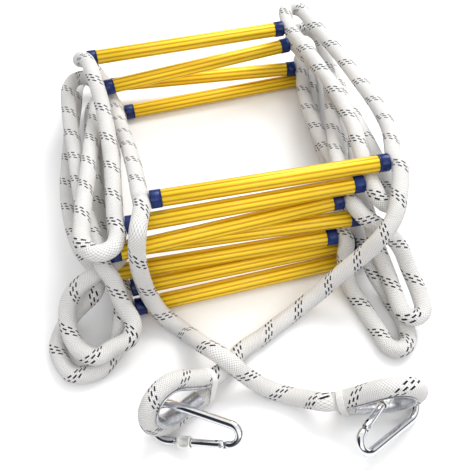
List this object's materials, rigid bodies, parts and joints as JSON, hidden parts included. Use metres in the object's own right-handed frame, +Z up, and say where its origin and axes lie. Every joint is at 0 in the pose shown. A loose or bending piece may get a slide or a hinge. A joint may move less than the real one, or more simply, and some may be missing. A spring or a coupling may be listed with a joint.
{
  "type": "escape rope ladder",
  "caption": "Rope ladder folded for storage: capped fluted rungs on two braided side ropes, each ending in a thimble eye with a screw-lock carabiner.",
  "frame": {"origin": "on the floor under the middle of the folded ladder's box", "axes": "+X along the rungs, +Y from the hooks towards the back pile of rungs, +Z up"},
  "size_m": [0.5132, 0.722, 0.1585],
  "materials": {
    "rung_yellow": "satin, fluted",
    "cap_navy": "glossy",
    "rod_steel": "plain",
    "rope_white": "braided with dark tracer dashes",
    "thimble_steel": "galvanised",
    "whipping_thread": "stitched thread",
    "hook_zinc": "bright zinc"
  },
  "bodies": {
    "ladder": {"rung_tube_f1": "rung_yellow", "rung_cap_f1_left": "cap_navy", "rung_cap_f1_right": "cap_navy", "tie_rod_f1": "rod_steel", "rung_tube_f2": "rung_yellow", "rung_cap_f2_left": "cap_navy", "rung_cap_f2_right": "cap_navy", "tie_rod_f2": "rod_steel", "rung_tube_f3": "rung_yellow", "rung_cap_f3_left": "cap_navy", "rung_cap_f3_right": "cap_navy", "tie_rod_f3": "rod_steel", "rung_tube_f4": "rung_yellow", "rung_cap_f4_left": "cap_navy", "rung_cap_f4_right": "cap_navy", "tie_rod_f4": "rod_steel", "rung_tube_f5": "rung_yellow", "rung_cap_f5_left": "cap_navy", "rung_cap_f5_right": "cap_navy", "tie_rod_f5": "rod_steel", "rung_tube_f6": "rung_yellow", "rung_cap_f6_left": "cap_navy", "rung_cap_f6_right": "cap_navy", "tie_rod_f6": "rod_steel", "rung_tube_f7": "rung_yellow", "rung_cap_f7_left": "cap_navy", "rung_cap_f7_right": "cap_navy", "tie_rod_f7": "rod_steel", "rung_tube_b1": "rung_yellow", "rung_cap_b1_left": "cap_navy", "rung_cap_b1_right": "cap_navy", "tie_rod_b1": "rod_steel", "rung_tube_b2": "rung_yellow", "rung_cap_b2_left": "cap_navy", "rung_cap_b2_right": "cap_navy", "tie_rod_b2": "rod_steel", "rung_tube_b3": "rung_yellow", "rung_cap_b3_left": "cap_navy", "rung_cap_b3_right": "cap_navy", "tie_rod_b3": "rod_steel", "rung_tube_b4": "rung_yellow", "rung_cap_b4_left": "cap_navy", "rung_cap_b4_right": "cap_navy", "tie_rod_b4": "rod_steel", "rope_left": "rope_white", "rope_right": "rope_white", "thimble_left": "thimble_steel", "thimble_right": "thimble_steel", "whipping_left": "whipping_thread", "whipping_right": "whipping_thread"},
    "carabiner_left": {"carabiner_body_left": "hook_zinc", "hinge_pin_left": "rod_steel"},
    "gate_left": {"gate_left": "hook_zinc", "gate_spring_left": "rod_steel"},
    "sleeve_left": {"screw_sleeve_left": "hook_zinc"},
    "carabiner_right": {"carabiner_body_right": "hook_zinc", "hinge_pin_right": "rod_steel"},
    "gate_right": {"gate_right": "hook_zinc", "gate_spring_right": "rod_steel"},
    "sleeve_right": {"screw_sleeve_right": "hook_zinc"}
  },
  "joints": [
    {"name": "carabiner_swing_left", "type": "hinge", "parent": "ladder", "child": "carabiner_left", "pos_m": [-0.13368, -0.27327, 0.02054], "axis": [0.764, 0.3008, -0.5708], "range_deg": [-14, 4]},
    {"name": "gate_hinge_left", "type": "hinge", "parent": "carabiner_left", "child": "gate_left", "pos_m": [-0.07199, -0.31076, 0.02512], "axis": [0.4461, 0.5546, -0.7024], "range_deg": [0, 10], "stiffness_Nm_per_rad": 0.15, "springref_deg": -8.59},
    {"name": "sleeve_slide_left", "type": "slide", "parent": "gate_left", "child": "sleeve_left", "axis": [-0.8886, 0.3678, -0.2739], "range_m": [-0.012, 0]},
    {"name": "carabiner_swing_right", "type": "hinge", "parent": "ladder", "child": "carabiner_right", "pos_m": [0.15491, -0.30089, 0.02253], "axis": [0.588, -0.1825, 0.788], "range_deg": [-7, 2]},
    {"name": "gate_hinge_right", "type": "hinge", "parent": "carabiner_right", "child": "gate_right", "pos_m": [0.08961, -0.33123, 0.04273], "axis": [-0.4984, 0.4109, -0.7634], "range_deg": [0, 10], "stiffness_Nm_per_rad": 0.15, "springref_deg": -8.59},
    {"name": "sleeve_slide_right", "type": "slide", "parent": "gate_right", "child": "sleeve_right", "axis": [0.748, 0.649, -0.139], "range_m": [-0.012, 0]}
  ]
}
